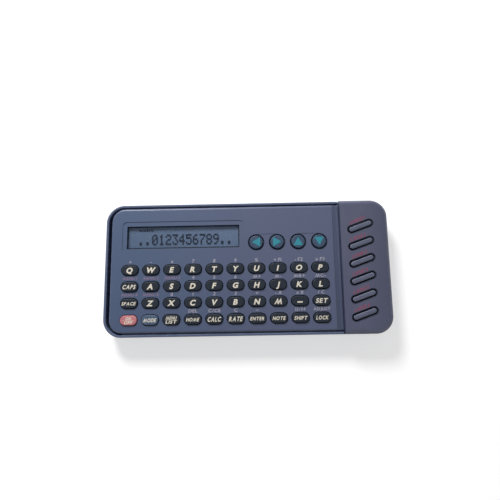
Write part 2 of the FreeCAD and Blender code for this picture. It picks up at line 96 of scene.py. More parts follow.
# Rounded ends and edges
END_STEPS = 14
EDGE_STEPS = 6
CROWN_STEPS = 3
CROWN_REACH = 0.96
SHARP_TURN = math.radians(45)

# Letter keys
KEY_LENGTH = 8.6 * MM
KEY_WIDTH = 5.1 * MM
KEY_DRAFT = 0.18 * MM
KEY_EDGE = 0.42 * MM
KEY_GAP = 0.35 * MM
FLANGE_DEPTH = 0.7 * MM
CAP_FOOT = 0.5 * MM

# Legends on the keys
LEGEND_DROP = 0.15 * MM
LEGEND_HEIGHT = 2.48 * MM
LEGEND_WEIGHT = 0.042
WORD_WEIGHT = 0.03
LINE_PITCH = 1.95 * MM
LINE_HEIGHT = 1.4 * MM
LINE_LETTER_WIDTH = 1.3 * MM
DIVIDER_HALF_LENGTH = 2.8 * MM
DIVIDER_HALF_WIDTH = 0.06 * MM

# Arrow keys
ARROW_RADIUS = 3.5 * MM
ARROW_GAP = 0.5 * MM
ARROW_SIGN_REACH = 2.4 * MM
ARROW_SIGN_CORNERS = ((0.9, 0.0), (-0.85, 1.0), (-0.85, -1.0))
ARROW_SIGN_CUT = 0.3 * MM
PAIR_LINE_RISE = 0.12 * MM
PAIR_LINE_HALF_WIDTH = 0.1 * MM
PAIR_LINE_SINK = 0.005 * MM

# Language keys
LANGUAGE_COUNT = 6
SLANT = math.radians(19.5)
BAR_LENGTH = 12.0 * MM
BAR_WIDTH = 2.6 * MM
BAR_GAP = 0.55 * MM
BAR_DEPTH = 2.45 * MM
BAR_SLIM = 0.15 * MM
BAR_EDGE = 0.6 * MM

# Lips round the openings, as rings with their reach outwards and height in millimetres
KEY_WELL_INSET = 0.16 * MM
KEY_LIP = ((0.0, -1.5), (0.0, -0.12), (0.03, -0.03), (0.09, 0.01), (0.3, 0.006))
ARROW_WELL_INSET = 0.04 * MM
ARROW_LIP = ((0.0, -1.5), (0.0, -0.04), (0.025, 0.01), (0.2, 0.01), (0.2, -0.01))
BAR_WELL_INSET = 0.1 * MM
BAR_LIP = ((0.0, -1.5), (0.0, -0.5), (0.32, -0.02), (0.39, 0.01), (0.51, 0.006))

# Small print
SMALL_PRINT_RISE = 4.15 * MM
SMALL_PRINT_HEIGHT = 1.6 * MM
SMALL_WORD_HEIGHT = 1.35 * MM
SMALL_WORD_LETTERS = 5
SMALL_PRINT_LEAN = 0.1
SMALL_PRINT_WEIGHT = 0.022
LANGUAGE_PRINT_RISE = 3.35 * MM
LANGUAGE_PRINT_SHIFT = -0.2 * MM
LANGUAGE_PRINT_HEIGHT = 1.7 * MM
LANGUAGE_PRINT_LENGTH = 7.8 * MM
LANGUAGE_PRINT_LEAN = 0.45
LANGUAGE_PRINT_WEIGHT = 0.028

# Display
MESSAGE = " ..0123456789.. "
CHARACTER_PITCH = 3.45 * MM
FIRST_CHARACTER_SHIFT = 1.45 * MM
FIRST_DOT_RISE = 1.4 * MM
DOT_PITCH_X = 0.56 * MM
DOT_PITCH_Y = 0.77 * MM
DOT_FILL = 1.14
DOT_DEPTH = 0.004 * MM
SIGN_WORD = "NUMERIC"
SIGN_CHARACTER = 2.05
SIGN_RISE = 2.6 * MM
SIGN_LIFT = 0.01 * MM
SIGN_HEIGHT = 1.15 * MM
SIGN_LENGTH = 7.2 * MM
SIGN_WEIGHT = 0.075
DISPLAY_OPENING = Vector((56.7, 11.6)) * MM
GASKET_SHOWS = 0.3 * MM
GASKET_UNDER_CASE = Vector((0.9, 0.9)) * MM
GASKET_LOW = 0.02 * MM
GASKET_HIGH = 0.08 * MM

# Screws and cells
HEAD_RADIUS = 1.8 * MM
HEAD_HEIGHT = 1.2 * MM
HEAD_CHAMFER = 0.1 * MM
HEAD_SIDES = 40
SLOT_WIDTH = 0.5 * MM
SLOT_DEPTH = 0.5 * MM
SLOT_SIDE_STEPS = 16
SHANK_RADIUS = 0.95 * MM
SHANK_SIDES = 20
TIP_RADIUS = 0.3 * MM
TIP_LENGTH = 0.8 * MM
CELL_RADIUS = 10.0 * MM
CELL_EDGE = 0.25 * MM
CELL_SIDES = 72
LIP_CLEARANCE = 0.2 * MM
LIP_STEPS = 24
SAME_POINT = 0.001 * MM


def srgb(red, green, blue):
    """A colour as seen on a screen, 0 to 255, in the shader's linear values."""
    linear = []
    for value in (red, green, blue):
        share = value / 255
        linear.append(share / 12.92 if share <= 0.04045 else ((share + 0.055) / 1.055) ** 2.4)
    return tuple(linear) + (1.0,)


# Shader maths


class Wire:
    """A socket that can be used in Python expressions."""

    def __init__(self, shading, socket):
        self.shading = shading
        self.socket = socket

    def maths(self, operation, first, second):
        settings = {"operation": operation}
        return self.shading.node("ShaderNodeMath", settings, {0: first, 1: second})

    def __add__(self, other):
        return self.maths("ADD", self, other)

    def __radd__(self, other):
        return self.maths("ADD", other, self)

    def __sub__(self, other):
        return self.maths("SUBTRACT", self, other)

    def __rsub__(self, other):
        return self.maths("SUBTRACT", other, self)

    def __mul__(self, other):
        return self.maths("MULTIPLY", self, other)

    def __rmul__(self, other):
        return self.maths("MULTIPLY", other, self)

    def __truediv__(self, other):
        return self.maths("DIVIDE", self, other)

    def __rtruediv__(self, other):
        return self.maths("DIVIDE", other, self)

    def highest(self, other):
        """The greater of two values."""
        return self.maths("MAXIMUM", self, other)


class Shading:
    """A tree of nodes that all come from one method."""

    def __init__(self, tree):
        self.tree = tree

    def node(self, kind, settings=None, inputs=None, output=0):
        """Add a node, set it up first, then give its inputs values or links."""
        made = self.tree.nodes.new(kind)
        for key, value in (settings or {}).items():
            setattr(made, key, value)
        for key, value in (inputs or {}).items():
            self.feed(made.inputs[key], value)
        return Wire(self, made.outputs[output])

    def feed(self, socket, value):
        """Give a socket a value, or link a wire to it."""
        if isinstance(value, Wire):
            self.tree.links.new(value.socket, socket)
        else:
            socket.default_value = value


class Finish(Shading):
    """A procedural surface finish with one shader."""

    def __init__(self, name, metallic=0.0, coat=0.0, specular=0.5):
        self.material = bpy.data.materials.new(name)
        self.material.use_nodes = True
        super().__init__(self.material.node_tree)
        self.shader = self.tree.nodes["Principled BSDF"]
        self.set("Metallic", metallic)
        self.set("Coat Weight", coat)
        self.set("Coat Roughness", 0.2)
        self.set("Specular IOR Level", specular)
        self.place = self.node("ShaderNodeTexCoord", output="Object")

    def set(self, key, value):
        """Give an input of the shader a value or a wire."""
        self.feed(self.shader.inputs[key], value)

    def paint(self, colour):
        self.set("Base Color", colour)

    def rough(self, value):
        self.set("Roughness", value)

    def bump(self, height, strength, depth):
        """Raise and lower the surface by the height pattern."""
        inputs = {"Height": height, "Strength": strength, "Distance": depth}
        self.set("Normal", self.node("ShaderNodeBump", None, inputs))

    def noise(self, size, detail=2.0, stretch=None):
        """Soft noise from 0 to 1 with patches of about this size."""
        place = self.place
        if stretch is not None:
            settings = {"operation": "MULTIPLY"}
            place = self.node("ShaderNodeVectorMath", settings, {0: place, 1: stretch})
        inputs = {"Vector": place, "Scale": 1 / size, "Detail": detail, "Roughness": 0.55}
        return self.node("ShaderNodeTexNoise", None, inputs)

    def band(self, value, low, high):
        """0 below low, 1 above high, with a smooth change between them."""
        settings = {"interpolation_type": "SMOOTHSTEP"}
        inputs = {"Value": value, "From Min": low, "From Max": high}
        return self.node("ShaderNodeMapRange", settings, inputs)

    def past(self, value, limit, softness):
        """0 before a limit and 1 past it, changing over the softness on both sides."""
        return self.band(value, limit - softness, limit + softness)

    def mix(self, share, first, second):
        """A colour that goes from first to second as share goes from 0 to 1."""
        inputs = {0: share, 6: first, 7: second}
        return self.node("ShaderNodeMix", {"data_type": "RGBA"}, inputs, output=2)

    def axis(self, name):
        """One coordinate of the place on the piece."""
        return self.node("ShaderNodeSeparateXYZ", None, {0: self.place}, output=name)

    def upward(self):
        """How far the surface faces upwards, from -1 to 1."""
        normal = self.node("ShaderNodeNewGeometry", output="Normal")
        return self.node("ShaderNodeSeparateXYZ", None, {0: normal}, output="Z")


class Moulding(Finish):
    """Spark-textured moulded plastic: cloudy tone, flow marks and fine grain."""

    def __init__(self, name, grain=0.28 * MM):
        super().__init__(name, specular=0.45)
        self.cloud = self.noise(9 * MM, 3.0)
        self.flow = self.noise(2.2 * MM, 2.0, (0.25, 1.0, 1.0))
        self.fine = self.noise(grain, 2.0)

    def wear(self, base, rubbed_and_highlight_tone, gloss, strength):
        """The base tone with paler sloping edges, partly from rubbing and partly painted highlight.
        The grain goes into gloss and bump as well.
        """
        upward = self.upward()
        # Paler tone on sloping faces: rubbing and a painted highlight
        rubbed_and_highlight = self.band(upward, 0.15, 0.6) * (1 - self.band(upward, 0.8, 0.985))
        base = self.mix(rubbed_and_highlight * self.band(self.flow, 0.1, 0.7) * 0.5, base, rubbed_and_highlight_tone)
        self.rough(gloss + self.fine * 0.14 - rubbed_and_highlight * 0.08)
        self.bump(self.fine + self.cloud * 0.2, strength, 0.03 * MM)
        return base

    def speckle(self, base, start, share, tone):
        """Paint the base tone with a few pale specks."""
        speck = self.band(self.noise(0.9 * MM, 1.0), start, start + 0.04)
        self.paint(self.mix(speck * share, base, tone))


def make_moulded(name, colour, pale, grain=0.28 * MM, strength=0.2, gloss=0.3):
    """Moulded plastic or rubber of one tone."""
    finish = Moulding(name, grain)
    share = finish.band(finish.cloud * 0.6 + finish.flow * 0.4, 0.35, 0.65)
    base = finish.mix(share, colour, pale)
    # Paler sloping edges, partly from rubbing and partly painted highlight
    base = finish.wear(base, srgb(128, 138, 165), gloss, strength)
    finish.speckle(base, 0.76, 0.3, srgb(140, 148, 168))
    return finish.material


def make_case_finish():
    """Violet-grey plastic with painted light: bluer at the left, with pale top and left edges, and
    darker towards the bottom, in the channel and at the block's end.
    """
    finish = Moulding("case_plastic")
    x = finish.axis("X")
    y = finish.axis("Y")
    drift = finish.cloud * 10 * MM

    # Painted light across the panel: bluer at the left
    across = finish.band(x + drift, -60 * MM, 30 * MM)
    panel = finish.mix(across, srgb(71, 88, 119), srgb(83, 91, 119))
    # Painted highlight along the panel's top and left edges
    top_highlight = finish.band(y, *PANEL_TOP_HIGHLIGHT)
    left_highlight = 1 - finish.band(x, *PANEL_LEFT_HIGHLIGHT)
    panel = finish.mix(top_highlight.highest(left_highlight) * 0.35, panel, srgb(122, 133, 164))

    patches = finish.band(finish.cloud, 0.3, 0.7)
    block = finish.mix(patches, srgb(80, 83, 107), srgb(85, 87, 112))
    # Painted shade towards the block's rounded right end
    block = finish.mix(finish.band(x, *BLOCK_END_SHADE) * 0.5, block, srgb(54, 61, 82))

    on_block = finish.past(x, BLOCK_LEFT, 0.6 * MM)
    base = finish.mix(on_block, panel, block)
    # Painted shade: darker towards the bottom
    low = 1 - finish.band(y + drift, -34 * MM, 26 * MM)
    base = finish.mix(low * 0.2, base, srgb(54, 66, 98))

    # Painted shade in the channel and on the ridge beside the block, deeper low down
    in_channel = finish.past(x, CHANNEL_LEFT, 0.2 * MM)
    before_ridge = 1 - finish.past(x, RIDGE_LEFT, 0.15 * MM)
    shade = in_channel * (1 - on_block) * (before_ridge * 0.3 + low * 0.2 + 0.2)
    base = finish.mix(shade, base, srgb(46, 56, 82))

    # Paler sloping edges, partly from rubbing and partly painted highlight
    base = finish.wear(base, srgb(128, 136, 164), 0.3, 0.2)
    finish.speckle(base, 0.77, 0.25, srgb(142, 150, 172))
    return finish.material


def make_key_finish(name, colour, pale, edge_highlight_tone):
    """Satin key plastic, a little polished where fingers rub its top, with a painted highlight on
    its sloping edges.
    """
    finish = Finish(name, specular=0.25)
    fine = finish.noise(0.2 * MM, 2.0)
    cloud = finish.noise(3.5 * MM, 2.0)
    upward = finish.upward()
    top = finish.band(upward, 0.7, 0.98)
    # Painted highlight on the sloping edges below the top
    edge = (1 - top) * finish.band(upward, 0.2, 0.5)
    base = finish.mix(finish.band(cloud, 0.3, 0.7), colour, pale)
    finish.paint(finish.mix(edge * 0.3, base, edge_highlight_tone))
    finish.rough(0.46 - top * 0.08 + fine * 0.12)
    finish.bump(fine, 0.12, 0.02 * MM)
    return finish.material


def make_ink(name, colour, pale):
    """Flat colour with a faintly uneven edge and density, for printed ink and for painted shade."""
    finish = Finish(name, specular=0.2)
    patch = finish.noise(0.6 * MM, 3.0)
    finish.paint(finish.mix(finish.band(patch, 0.35, 0.75), colour, pale))
    finish.rough(0.5 + patch * 0.2)
    finish.bump(patch, 0.05, 0.01 * MM)
    return finish.material


def make_display_finish():
    """Grey reflective display glass, with painted light that makes it paler towards its upper
    right.
    """
    finish = Finish("display_glass", coat=0.3, specular=0.4)
    low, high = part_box("lcd_panel")
    across = (finish.axis("X") - low.x) / (high.x - low.x)
    up = (finish.axis("Y") - low.y) / (high.y - low.y)
    grain = finish.noise(0.4 * MM, 1.0)
    cloud = finish.noise(16 * MM, 2.0)
    # Painted light: paler towards the upper right
    share = finish.band(across * 0.5 + up * 0.35 + cloud * 0.3, 0.2, 1.0)
    base = finish.mix(share, srgb(66, 89, 119), srgb(86, 106, 136))
    finish.paint(finish.mix(grain * 0.05, base, srgb(58, 76, 102)))
    finish.rough(0.5 + cloud * 0.06)
    return finish.material


def make_window_finish():
    """Clear acrylic: mostly see-through, with a soft gloss."""
    finish = Finish("window_acrylic", specular=0.5)
    haze = finish.noise(7 * MM, 3.0)
    finish.paint(finish.mix(haze, srgb(110, 130, 160), srgb(130, 150, 178)))
    finish.rough(0.12 + haze * 0.1)
    clear = finish.node("ShaderNodeBsdfTransparent", output="BSDF")
    glint = finish.node("ShaderNodeLayerWeight", None, {"Blend": 0.12}, output="Fresnel")
    share = glint * 0.3 + 0.015 + haze * 0.02
    gloss = Wire(finish, finish.shader.outputs["BSDF"])
    both = finish.node("ShaderNodeMixShader", None, {0: share, 1: clear, 2: gloss})
    finish.feed(finish.tree.nodes["Material Output"].inputs["Surface"], both)
    finish.material.surface_render_method = "BLENDED"
    return finish.material


def make_metal(name, colour, pale, gloss):
    """Brushed or plated metal with fine scratches."""
    finish = Finish(name, metallic=1.0)
    scratch = finish.noise(0.5 * MM, 3.0, (0.08, 1.0, 1.0))
    finish.paint(finish.mix(finish.band(scratch, 0.35, 0.7), colour, pale))
    finish.rough(gloss + scratch * 0.15)
    finish.bump(scratch, 0.08, 0.01 * MM)
    return finish.material


def make_board_finish():
    """Green solder mask over faint tracks."""
    finish = Finish("board_mask", coat=0.4)
    tracks = finish.band(finish.noise(1.6 * MM, 0.0, (1.0, 0.15, 1.0)), 0.48, 0.52)
    finish.paint(finish.mix(tracks, srgb(26, 84, 52), srgb(36, 104, 66)))
    finish.rough(0.35 + tracks * 0.1)
    finish.bump(tracks, 0.1, 0.03 * MM)
    return finish.material


def make_floor_finish():
    """Matt white paper, lifted for the camera alone, and more so far away."""
    finish = Finish("floor_paper", specular=0.2)
    fibre = finish.noise(1.2 * MM, 4.0)
    finish.paint(finish.mix(fibre, srgb(236, 236, 238), srgb(242, 242, 243)))
    seen = finish.node("ShaderNodeLightPath", output="Is Camera Ray")
    length = {"operation": "LENGTH"}
    away = finish.node("ShaderNodeVectorMath", length, {0: finish.place}, "Value")
    far = finish.band(away, FLOOR_NEAR, FLOOR_FAR)
    lift = finish.mix(far, FLOOR_NEAR_LIFT, FLOOR_FAR_LIFT)
    finish.set("Emission Color", finish.mix(seen, BLACK, lift))
    finish.set("Emission Strength", 1.0)
    finish.rough(0.85 + fibre * 0.1)
    finish.bump(fibre, 0.05, 0.05 * MM)
    return finish.material


FINISHES = {
    "case": make_case_finish(),
    "cover": make_moulded("cover_plastic", srgb(78, 92, 122), srgb(84, 97, 126)),
    "window": make_window_finish(),
    "display": make_display_finish(),
    "board": make_board_finish(),
    "mat": make_moulded("mat_rubber", srgb(58, 60, 66), srgb(66, 68, 74), 0.5 * MM, 0.15, 0.6),
    "cell": make_metal("cell_plating", srgb(176, 178, 182), srgb(205, 206, 208), 0.28),
    "screw": make_metal("screw_steel", srgb(84, 86, 92), srgb(110, 112, 118), 0.35),
    # The last tone of each key finish is its painted edge highlight
    "black_key": make_key_finish(
        "black_key_plastic", srgb(20, 28, 39), srgb(26, 35, 47), srgb(64, 78, 98)
    ),
    "red_key": make_key_finish(
        "red_key_plastic", srgb(194, 120, 128), srgb(204, 132, 138), srgb(228, 168, 172)
    ),
    "blue_key": make_key_finish(
        "blue_key_plastic", srgb(72, 90, 114), srgb(80, 98, 122), srgb(112, 130, 154)
    ),
    "arrow_key": make_key_finish(
        "arrow_key_plastic", srgb(58, 75, 99), srgb(67, 84, 109), srgb(100, 116, 142)
    ),
    "language_key": make_key_finish(
        "language_key_plastic", srgb(90, 96, 117), srgb(98, 103, 124), srgb(162, 166, 186)
    ),
    # Painted shade for the slot lips of the language keys
    "slot_shade": make_key_finish(
        "slot_painted_shade", srgb(40, 45, 60), srgb(46, 51, 67), srgb(66, 72, 92)
    ),
    "cream": make_ink("cream_ink", srgb(232, 225, 208), srgb(240, 234, 220)),
    "teal": make_ink("teal_ink", srgb(52, 138, 156), srgb(64, 150, 168)),
    "grey_print": make_ink("grey_print", srgb(168, 165, 180), srgb(180, 177, 190)),
    "mauve_print": make_ink("mauve_print", srgb(138, 117, 145), srgb(150, 129, 155)),
    "red_print": make_ink("red_print", srgb(142, 72, 94), srgb(154, 84, 104)),
    # Dark colour for print, and for painted shade in the arrow gaps and round the display
    "dark_print_and_shade": make_ink("dark_print_and_shade", srgb(30, 38, 54), srgb(38, 46, 62)),
    "display_dot": make_ink("display_dot", srgb(12, 22, 40), srgb(18, 28, 48)),
    "display_shade": make_ink("display_shade", srgb(62, 80, 106), srgb(68, 86, 112)),
}


# Mesh making


def add_piece(name, mesh, finish, body, smooth=True):
    """Put a mesh in the scene with its finish, riding on a body."""
    piece = bpy.data.objects.new(name, mesh)
    bpy.context.scene.collection.objects.link(piece)
    mesh.materials.append(FINISHES[finish])
    for face in mesh.polygons:
        face.use_smooth = smooth
    if smooth:
        mesh.set_sharp_from_angle(angle=SHARP_TURN)
    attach(piece, body)
    return piece


def mesh_from(name, build):
    """A mesh from a function that fills a bmesh, with its faces turned outwards."""
    work = bmesh.new()
    build(work)
    bmesh.ops.recalc_face_normals(work, faces=work.faces)
    mesh = bpy.data.meshes.new(name)
    work.to_mesh(mesh)
    work.free()
    return mesh


def centre(node):
    """Middle of a node's box, in plan."""
    low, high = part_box(node)
    return Vector(((low.x + high.x) / 2, (low.y + high.y) / 2, 0))


def rectangle(left, low, right, high):
    """Corners of a rectangle, in plan."""
    return [(left, low), (right, low), (right, high), (left, high)]


def arc(middle, radius, direction, reach, steps):
    """Points of an arc about a middle, in plan, reaching to both sides of a direction."""
    points = []
    for step in range(steps + 1):
        angle = direction + reach * (2 * step / steps - 1)
        points.append((middle.x + radius * math.cos(angle), middle.y + radius * math.sin(angle)))
    return points


def bar_ring(length, width, height):
    """Points round a bar with half-round ends, at one height. Equal sides make a circle."""
    radius = width / 2
    run = (length - width) / 2
    points = []
    for side in (1, -1):
        for step in range(END_STEPS + 1):
            if run <= 0 and step == END_STEPS:
                continue
            turn = math.pi * (step / END_STEPS - side / 2)
            x = side * run + radius * math.cos(turn)
            points.append(Vector((x, radius * math.sin(turn), height)))
    return points


def join(work, first, second):
    """A strip of faces between two loops with as many points."""
    for step in range(len(first)):
        after = (step + 1) % len(first)
        work.faces.new((first[step], first[after], second[after], second[step]))


def loft(work, rings, place, turn=0.0, hollow=False):
    """A closed skin through rings of points: capped at both ends, or a hollow loop."""
    move = Matrix.Translation(place) @ Matrix.Rotation(turn, 4, "Z")
    rows = [[work.verts.new(move @ point) for point in ring] for ring in rings]
    if hollow:
        rows.append(rows[0])
    else:
        work.faces.new(rows[-1])
        work.faces.new(list(reversed(rows[0])))
    for lower, upper in zip(rows, rows[1:]):
        join(work, lower, upper)


def thin_plate(work, points, height, depth=PRINT_DEPTH):
    """A thin closed plate with this outline, standing on height."""
    low = [work.verts.new((x, y, height)) for x, y in points]
    high = [work.verts.new((x, y, height + depth)) for x, y in points]
    join(work, low, high)
    work.faces.new(high)
    work.faces.new(list(reversed(low)))


def lathe(work, profile, place, steps):
    """Turn a profile of radius and height about an upright line through a place."""
    rings = []
    for radius, height in profile:
        turns = [2 * math.pi * step / steps for step in range(steps)]
        ring = [Vector((radius * math.cos(a), radius * math.sin(a), height)) for a in turns]
        rings.append(ring)
    loft(work, rings, place)


def rounded_cap_rings(length, width, foot, top, draft, edge):
    """Rings of a drafted cap whose top edge is rounded, with a few rings across its top."""
    rings = [bar_ring(length, width, foot)]
    for step in range(EDGE_STEPS + 1):
        angle = math.pi / 2 * step / EDGE_STEPS
        inset = draft + edge * (1 - math.cos(angle))
        height = top - edge + edge * math.sin(angle)
        rings.append(bar_ring(length - 2 * inset, width - 2 * inset, height))
    crown = (width / 2 - draft - edge) * CROWN_REACH
    for step in range(1, CROWN_STEPS + 1):
        inset = draft + edge + crown * step / CROWN_STEPS
        rings.append(bar_ring(length - 2 * inset, width - 2 * inset, top))
    return rings


def lip_rings(length, width, level, profile):
    """Rings of the lip round an opening, on a surface at this level."""
    return [
        bar_ring(length + 2 * out * MM, width + 2 * out * MM, level + height * MM)
        for out, height in profile
    ]


# Lettering


def glyph_mesh(letter, weight):
    """One upright letter of unit size, thickened by weight, as a thin closed mesh."""
    curve = bpy.data.curves.new("lettering", "FONT")
    curve.body = letter
    curve.offset = weight
    curve.extrude = GLYPH_HALF_DEPTH
    curve.resolution_u = GLYPH_CURVE_STEPS
    holder = bpy.data.objects.new("lettering", curve)
    bpy.context.scene.collection.objects.link(holder)
    bpy.context.view_layer.update()
    mesh = bpy.data.meshes.new_from_object(holder)
    bpy.data.objects.remove(holder)
    bpy.data.curves.remove(curve)
    return mesh


def spread(mesh, axis):
    """Lowest and highest value of a mesh along one axis."""
    values = [vertex.co[axis] for vertex in mesh.vertices]
    return min(values), max(values)


CAPITAL = spread(glyph_mesh("H", 0.0), 1)[1]


@functools.cache
def glyph(letter, weight):
    """Points, faces and width of one letter in capital heights. An M is a W upside down."""
    mesh = glyph_mesh("W" if letter == "M" else letter, weight)
    low, high = spread(mesh, 0)
    points = []
    for vertex in mesh.vertices:
        x, y, z = vertex.co
        x -= low
        if letter == "M":
            x, y = (high - low - x) * M_NARROWING, CAPITAL - y
        points.append(Vector((x / CAPITAL, y / CAPITAL, z + GLYPH_HALF_DEPTH)))
    faces = [list(polygon.vertices) for polygon in mesh.polygons]
    bpy.data.meshes.remove(mesh)
    return points, faces, max(point.x for point in points)


def add_words(work, words, place, height, weight, width=None, lean=LETTER_LEAN, turn=0.0):
    """Add leaning letters of this capital height, centred on a place, and fitted to width."""
    start = 0.0
    row = []
    for letter in words:
        if letter == " ":
            start += WORD_SPACE
            continue
        points, faces, wide = glyph(letter, weight)
        row.append((start, points, faces))
        start += wide + LETTER_SPACE
    total = start - LETTER_SPACE
    stretch = LETTER_STRETCH * height if width is None else width / total
    move = Matrix.Translation(place) @ Matrix.Rotation(turn, 4, "Z")
    for offset, points, faces in row:
        made = []
        for point in points:
            up = (point.y - 0.5) * height
            along = (offset + point.x - total / 2) * stretch + lean * up
            made.append(work.verts.new(move @ Vector((along, up, point.z * PRINT_DEPTH))))
        for face in faces:
            work.faces.new([made[index] for index in face])


# Key caps and legends

# Words of a key, with their height and width in millimetres
LEGENDS = {
    "caps": ("CAPS", 2.0, 6.4),
    "space": ("SPACE", 1.5, 6.8),
    "dash": ("-", 2.9, 2.6),
    "set": ("SET", 2.1, 5.6),
    "mode": ("MODE", 1.7, 6.2),
    "home": ("HOME", 1.6, 6.2),
    "calc": ("CALC", 2.1, 6.4),
    "currency": ("RATE", 2.1, 6.4),
    "enter": ("ENTER", 1.55, 6.9),
    "memo": ("NOTE", 1.65, 6.1),
    "shift": ("SHIFT", 1.65, 6.2),
    "code": ("LOCK", 1.7, 5.9),
}
TWO_LINE_LEGENDS = {"on_off": ("ON", "OFF"), "menu": ("MENU", "LIST")}
KEY_FINISH = {"on_off": "red_key", "mode": "blue_key"}
LETTER_KEYS = [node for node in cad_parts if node.startswith("key_") and node != "key_mat"]
LANGUAGE_KEYS = ["language_key_" + str(number + 1) for number in range(LANGUAGE_COUNT)]
ARROW_QUARTER_TURNS = {"right": 0, "up": 1, "left": 2, "down": 3}


def cap_mesh(name, node, length, width):
    """A drafted cap with a rounded top edge, and the flange that holds it in the case."""
    low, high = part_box(node)

    def cap(work):
        foot = low.z + CAP_FOOT
        rings = rounded_cap_rings(length, width, foot, high.z, KEY_DRAFT, KEY_EDGE)
        loft(work, rings, centre(node))
        thin_plate(work, rectangle(low.x, low.y, high.x, high.y), low.z, FLANGE_DEPTH)

    return mesh_from(name, cap)


def make_letter_keys():
    """Forty caps, each with its legend."""
    for node in LETTER_KEYS:
        name = node[len("key_"):]
        finish = KEY_FINISH.get(name, "black_key")
        mesh = cap_mesh("cap_" + name, node, KEY_LENGTH, KEY_WIDTH)
        piece = add_piece("cap_" + name, mesh, finish, node)
        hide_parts(node)
        make_legend(name, node)


def make_legend(name, node):
    """Cream letters on one key."""
    at = centre(node)
    at.y -= LEGEND_DROP
    at.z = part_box(node)[1].z + PRINT_LIFT

    def letters(work):
        if name in TWO_LINE_LEGENDS:
            for line, words in enumerate(TWO_LINE_LEGENDS[name]):
                place = at + Vector((0, (0.5 - line) * LINE_PITCH, 0))
                width = LINE_LETTER_WIDTH * len(words)
                add_words(work, words, place, LINE_HEIGHT, WORD_WEIGHT, width)
            divider = rectangle(
                at.x - DIVIDER_HALF_LENGTH, at.y - DIVIDER_HALF_WIDTH,
                at.x + DIVIDER_HALF_LENGTH, at.y + DIVIDER_HALF_WIDTH
            )
            thin_plate(work, divider, at.z)
        elif name in LEGENDS:
            words, height, width = LEGENDS[name]
            add_words(work, words, at, height * MM, WORD_WEIGHT, width * MM)
        else:
            add_words(work, name.upper(), at, LEGEND_HEIGHT, LEGEND_WEIGHT)

    mesh = mesh_from("legend_" + name, letters)
    piece = add_piece("legend_" + name, mesh, "cream", node, False)


def make_arrow_keys():
    """Four round keys with a triangular sign."""
    for name, quarters in ARROW_QUARTER_TURNS.items():
        node = "arrow_" + name
        mesh = cap_mesh(node, node, 2 * ARROW_RADIUS, 2 * ARROW_RADIUS)
        piece = add_piece("arrow_cap_" + name, mesh, "arrow_key", node)
        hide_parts(node)

        def sign(work):
            corners = [Vector(corner) * ARROW_SIGN_REACH for corner in ARROW_SIGN_CORNERS]
            spin = Matrix.Rotation(quarters * math.pi / 2, 2)
            place = centre(node).to_2d()
            outline = []
            for index, corner in enumerate(corners):
                for other in (corners[index - 1], corners[(index + 1) % 3]):
                    cut = (other - corner).normalized() * ARROW_SIGN_CUT
                    outline.append(place + spin @ (corner + cut))
            thin_plate(work, outline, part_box(node)[1].z + PRINT_LIFT)

        mark = add_piece("arrow_sign_" + name, mesh_from("sign", sign), "teal", node, False)


def make_language_keys():
    """Six slanted bars with rounded top edges."""
    for number, node in enumerate(LANGUAGE_KEYS, 1):

        def bar(work):
            rings = rounded_cap_rings(
                BAR_LENGTH - 2 * BAR_SLIM, BAR_WIDTH - 2 * BAR_SLIM, BLOCK_TOP - BAR_DEPTH,
                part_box(node)[1].z, 0.0, BAR_EDGE
            )
            loft(work, rings, centre(node), SLANT)

        name = "language_cap_" + str(number)
        piece = add_piece(name, mesh_from(node, bar), "language_key", node)
        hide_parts(node)


# Openings in the case


def make_key_wells():
    """Smooth lips round the forty key openings."""

    def wells(work):
        gap = 2 * (KEY_GAP - KEY_WELL_INSET)
        rings = lip_rings(KEY_LENGTH + gap, KEY_WIDTH + gap, PANEL, KEY_LIP)
        for node in LETTER_KEYS:
            loft(work, rings, centre(node), hollow=True)

    add_piece("key_wells", mesh_from("key_wells", wells), "case", "housing")


def make_arrow_wells():
    """Rings round the arrow keys, painted dark as the shade in their gaps, and the printed fine
    lines that join them in pairs.
    """
    left, right, up, down = (centre("arrow_" + name) for name in ("left", "right", "up", "down"))

    def wells(work):
        opening = ARROW_RADIUS + ARROW_GAP
        width = 2 * (opening - ARROW_WELL_INSET)
        rings = lip_rings(width, width, PANEL, ARROW_LIP)
        for place in (left, right, up, down):
            loft(work, rings, place, hollow=True)
        for first, second in ((left, right), (up, down)):
            y = first.y + opening + PAIR_LINE_RISE
            line = rectangle(
                first.x, y - PAIR_LINE_HALF_WIDTH, second.x, y + PAIR_LINE_HALF_WIDTH
            )
            thin_plate(work, line, PANEL - PAIR_LINE_SINK)

    mesh = mesh_from("arrow_wells", wells)
    add_piece("arrow_wells", mesh, "dark_print_and_shade", "housing", False)


def make_language_wells():
    """Smooth bevelled lips round the six slanted slots, painted dark as the shade in them."""

    def wells(work):
        gap = 2 * (BAR_GAP - BAR_WELL_INSET)
        rings = lip_rings(BAR_LENGTH + gap, BAR_WIDTH + gap, BLOCK_TOP, BAR_LIP)
        for node in LANGUAGE_KEYS:
            loft(work, rings, centre(node), SLANT, hollow=True)

    mesh = mesh_from("language_wells", wells)
    add_piece("language_wells", mesh, "slot_shade", "housing")


# Print on the case

KEY_ROWS = [
    ["q", "w", "e", "r", "t", "y", "u", "i", "o", "p"],
    ["caps", "a", "s", "d", "f", "g", "h", "j", "k", "l"],
    ["space", "z", "x", "c", "v", "b", "n", "m", "dash", "set"],
    ["on_off", "mode", "menu", "home", "calc", "currency", "enter", "memo", "shift", "code"],
]
SMALL_PRINT = [
    ["+", "-", "x", "7", "8", "9", "%", "+ F1", "- F2", "x F3"],
    ["MENU 1", "MENU 2", "MENU 3", "4", "5", "6", "M+", "M-", "MR+", "MC-"],
    ["MENU 4", "MENU 5", "0", "1", "2", "3", "+", "- A", "x B", "/ C"],
    ["", "", "", "DEL", "C/CE", "C", "~", "", "12/24", "ADJUST"],
]


